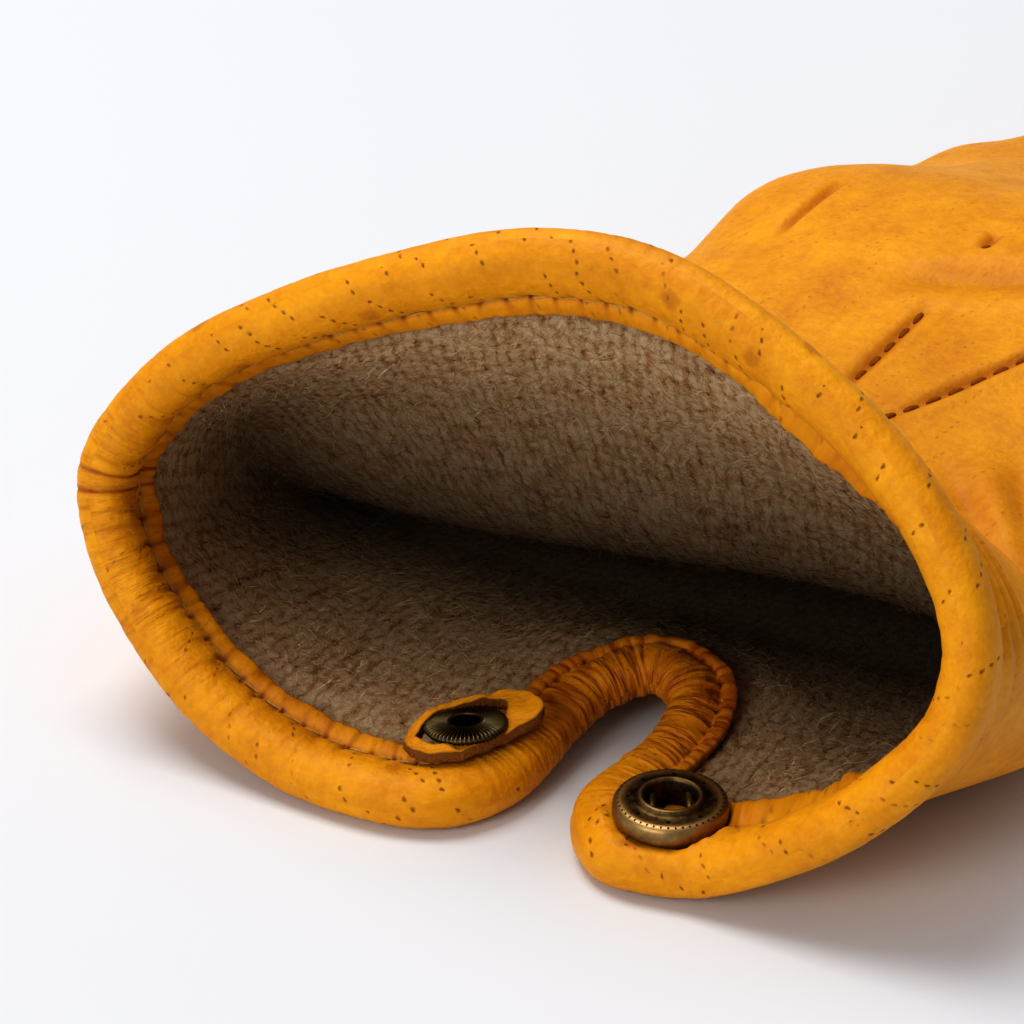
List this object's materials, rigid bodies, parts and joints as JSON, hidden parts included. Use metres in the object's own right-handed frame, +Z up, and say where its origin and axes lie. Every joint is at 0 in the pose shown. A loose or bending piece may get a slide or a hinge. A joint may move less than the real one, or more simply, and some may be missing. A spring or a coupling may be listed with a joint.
{
  "type": "peccary leather glove",
  "caption": "Left-hand leather dress glove lying palm down, cuff held open, with a rolled hem, a palm vent with a snap, a knitted lining and three raised tucks on the back.",
  "frame": {"origin": "centre of the bounding box at its base, on the surface that the glove lies on", "axes": "+Y from the cuff toward the fingertips, +Z up from the palm to the back, +X toward the thumb"},
  "size_m": [0.1452, 0.2278, 0.0568],
  "materials": {
    "leather": "soft satin peccary grain, tan, pores in threes",
    "lining_knit": "brushed heathered taupe knit",
    "antique_brass": "antique brass, worn bright on its edges",
    "dark_brass": "dark patinated brass"
  },
  "bodies": {
    "root": {"trank_back": "leather", "trank_palm": "leather", "thumb": "leather", "fourchette_little_ring": "leather", "fourchette_ring_middle": "leather", "fourchette_middle_index": "leather", "cuff_hem": "leather", "lining": "lining_knit", "snap_patch": "leather", "snap_eyelet": "dark_brass", "snap_stud": "dark_brass", "snap_socket": "antique_brass", "snap_cap": "antique_brass"}
  },
  "joints": []
}
